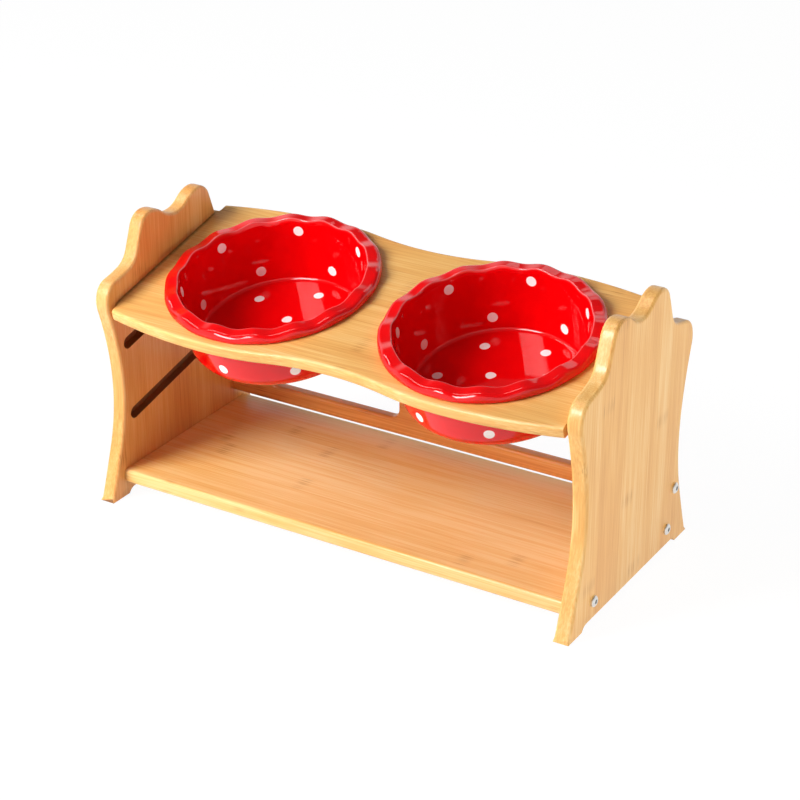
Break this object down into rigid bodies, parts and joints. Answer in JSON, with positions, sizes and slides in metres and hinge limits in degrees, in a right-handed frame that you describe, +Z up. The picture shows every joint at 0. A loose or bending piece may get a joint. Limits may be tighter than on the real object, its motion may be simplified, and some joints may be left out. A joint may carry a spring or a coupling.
{
  "type": "raised double bowl stand",
  "caption": "Raised pet feeding stand of laminated bamboo: grooved side panels carry a tilted shelf with round holes for lift-out fluted ceramic bowls.",
  "frame": {"origin": "on the floor, under the middle of the stand", "axes": "+X along the stand to its right end, +Y from its front to its rear, +Z up; the bowls lean to the front"},
  "size_m": [0.4044, 0.19, 0.2166],
  "materials": {
    "bamboo": "laminated bamboo under a satin clear lacquer",
    "red_glaze": "glossy red glaze with white dots",
    "screw_steel": "bright zinc plate",
    "dowel_wood": "bare turned wood"
  },
  "bodies": {
    "stand": {"left_side_panel": "bamboo", "right_side_panel": "bamboo", "bottom_shelf": "bamboo", "back_rail": "bamboo", "shelf_screws": "screw_steel", "rail_screws": "screw_steel", "rail_dowels": "dowel_wood"},
    "bowl_shelf": {"bowl_shelf": "bamboo"},
    "left_bowl": {"left_bowl": "red_glaze"},
    "right_bowl": {"right_bowl": "red_glaze"}
  },
  "joints": [
    {"name": "shelf_slide", "type": "slide", "parent": "stand", "child": "bowl_shelf", "axis": [0, 0.9724, 0.2334], "range_m": [0, 0.16]},
    {"name": "left_bowl_lift", "type": "slide", "parent": "bowl_shelf", "child": "left_bowl", "axis": [0, -0.2334, 0.9724], "range_m": [0, 0.06]},
    {"name": "right_bowl_lift", "type": "slide", "parent": "bowl_shelf", "child": "right_bowl", "axis": [0, -0.2334, 0.9724], "range_m": [0, 0.06]}
  ]
}
